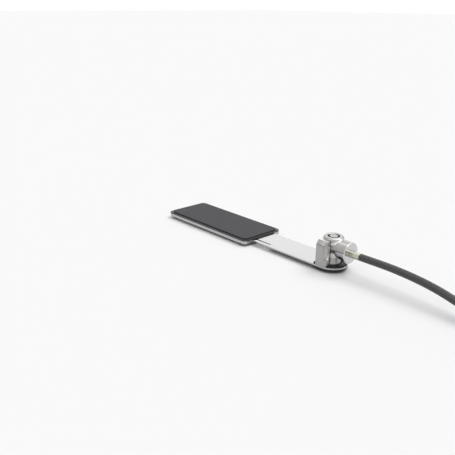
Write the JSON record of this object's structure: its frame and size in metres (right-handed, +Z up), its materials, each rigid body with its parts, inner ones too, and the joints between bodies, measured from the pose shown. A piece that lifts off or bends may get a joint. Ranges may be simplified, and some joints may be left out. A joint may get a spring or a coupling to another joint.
{
  "type": "laptop cable lock",
  "caption": "Laptop cable lock: a keyed lock head locked into the slot of a steel blade that slides out of a flat stick-on housing, with a steel cable in a tied hank and end loop.",
  "frame": {"origin": "on the desk, under the middle of the box round housing, blade and lock head, without the cable", "axes": "+X along the blade from the housing to the cable, +Y across the blade, +Z up"},
  "size_m": [0.3894, 0.0419, 0.0268],
  "materials": {
    "sheet_steel": "brushed steel sheet",
    "black_plate": "black painted sheet steel",
    "foam": "dark grey closed-cell foam tape",
    "foot_rubber": "black rubber",
    "rivet_steel": "plain turned steel",
    "spring_steel": "blued spring steel",
    "blade_steel": "polished stainless steel",
    "pad_rubber": "matt black rubber",
    "plated_casting": "satin nickel plating",
    "polished_cap": "polished plating",
    "lock_steel": "turned steel",
    "key_post_steel": "polished plating",
    "lock_brass": "turned brass",
    "ferrule_nickel": "warm nickel plating",
    "cable_jacket": "smoky clear vinyl over a dark steel braid",
    "strap_fabric": "black hook-and-loop strap",
    "crimp_aluminium": "pressed aluminium"
  },
  "bodies": {
    "housing": {"housing_tray": "sheet_steel", "channel_frame": "sheet_steel", "housing_cover": "black_plate", "adhesive_pad": "foam", "rubber_feet": "foot_rubber", "housing_rivets": "rivet_steel", "guide_pin": "rivet_steel", "friction_leaf": "spring_steel"},
    "blade": {"blade": "blade_steel", "top_pad": "pad_rubber", "under_pad": "pad_rubber", "lock_body": "plated_casting", "arm_cap": "polished_cap", "cylinder_case": "plated_casting", "case_pin": "lock_steel", "post_dowel": "key_post_steel", "driver_block": "lock_brass", "driver_pins": "lock_brass", "pin_springs": "spring_steel", "cable_run": "cable_jacket", "cable_hank": "cable_jacket", "hank_straps": "strap_fabric", "cable_tail": "cable_jacket", "loop_crimp": "crimp_aluminium", "end_loop": "cable_jacket"},
    "plug": {"key_plug": "lock_steel", "key_post": "key_post_steel", "key_pins": "lock_brass", "spindle": "lock_steel", "spindle_clip": "spring_steel", "t_bar": "lock_steel"},
    "swivel": {"swivel_sleeve": "plated_casting", "ferrule": "ferrule_nickel"}
  },
  "joints": [
    {"name": "blade_slide", "type": "slide", "parent": "housing", "child": "blade", "axis": [1, 0, 0], "range_m": [-0.036, 0]},
    {"name": "plug_turn", "type": "hinge", "parent": "blade", "child": "plug", "pos_m": [0.0604, 0, 0.0035], "axis": [0, 0, 1], "range_deg": [0, 90]},
    {"name": "cable_swivel", "type": "hinge", "parent": "blade", "child": "swivel", "pos_m": [0.0604, 0, 0.0131], "axis": [1, 0, 0], "continuous": true}
  ]
}
